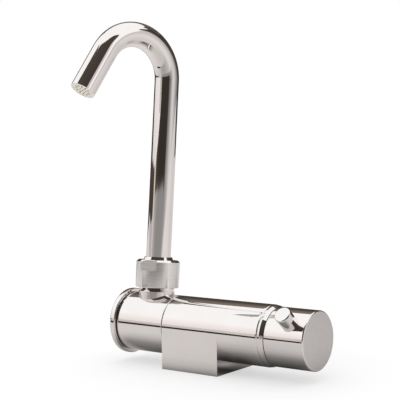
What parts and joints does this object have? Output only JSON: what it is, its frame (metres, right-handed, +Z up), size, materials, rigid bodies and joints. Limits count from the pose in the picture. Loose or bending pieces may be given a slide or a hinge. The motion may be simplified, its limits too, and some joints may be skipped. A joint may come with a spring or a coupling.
{
  "type": "folding mixer tap",
  "caption": "Chromed deck mixer tap with a horizontal barrel on a square block, a fold-down swivelling gooseneck spout and a rotary control knob with a peg.",
  "frame": {"origin": "centre of the block's underside, where it stands on the worktop", "axes": "+Z up, +X along the barrel towards the control knob, -Y towards the user"},
  "size_m": [0.1387, 0.0738, 0.2067],
  "materials": {
    "chrome": "polished chrome plate on brass",
    "brass": "turned, unplated",
    "steel": "plain stainless",
    "rubber": "matt black sealing rubber",
    "dark_nylon": "black nylon",
    "white_nylon": "white nylon",
    "cream_plastic": "cream moulded plastic",
    "ceramic": "lapped alumina"
  },
  "bodies": {
    "base": {"valve_body": "chrome", "base_seal": "rubber", "stop_pin": "steel", "seam_washer": "dark_nylon", "end_washer": "dark_nylon", "disc_spring": "steel", "end_cap": "chrome", "end_cap_seal": "rubber", "journal_seals": "rubber", "cartridge_base": "white_nylon", "cartridge_seals": "rubber", "fixed_disc": "ceramic", "cartridge_housing": "white_nylon", "cartridge_nut": "brass", "trim_collar": "chrome"},
    "head": {"folding_head": "chrome", "union_nut": "chrome", "boss_washer": "white_nylon", "nut_ring": "white_nylon"},
    "spout": {"spout_tail": "brass", "spout_seals": "rubber", "spout_tube": "chrome", "aerator_insert": "cream_plastic", "aerator_strainer": "steel", "aerator_seal": "rubber"},
    "knob": {"moving_disc": "ceramic", "disc_carrier": "white_nylon", "spindle": "brass", "spindle_seal": "rubber", "knob_insert": "white_nylon", "knob_shell": "chrome", "knob_peg": "chrome", "grub_screw": "steel"}
  },
  "joints": [
    {"name": "head_fold", "type": "hinge", "parent": "base", "child": "head", "pos_m": [0, 0, 0.0235], "axis": [1, 0, 0], "range_deg": [-84, 96]},
    {"name": "spout_swivel", "type": "hinge", "parent": "head", "child": "spout", "pos_m": [-0.0389, 0, 0.0235], "axis": [0, 0.1045, 0.9945], "continuous": true},
    {"name": "knob_turn", "type": "hinge", "parent": "base", "child": "knob", "pos_m": [0, 0, 0.0235], "axis": [-1, 0, 0], "range_deg": [0, 120]}
  ]
}
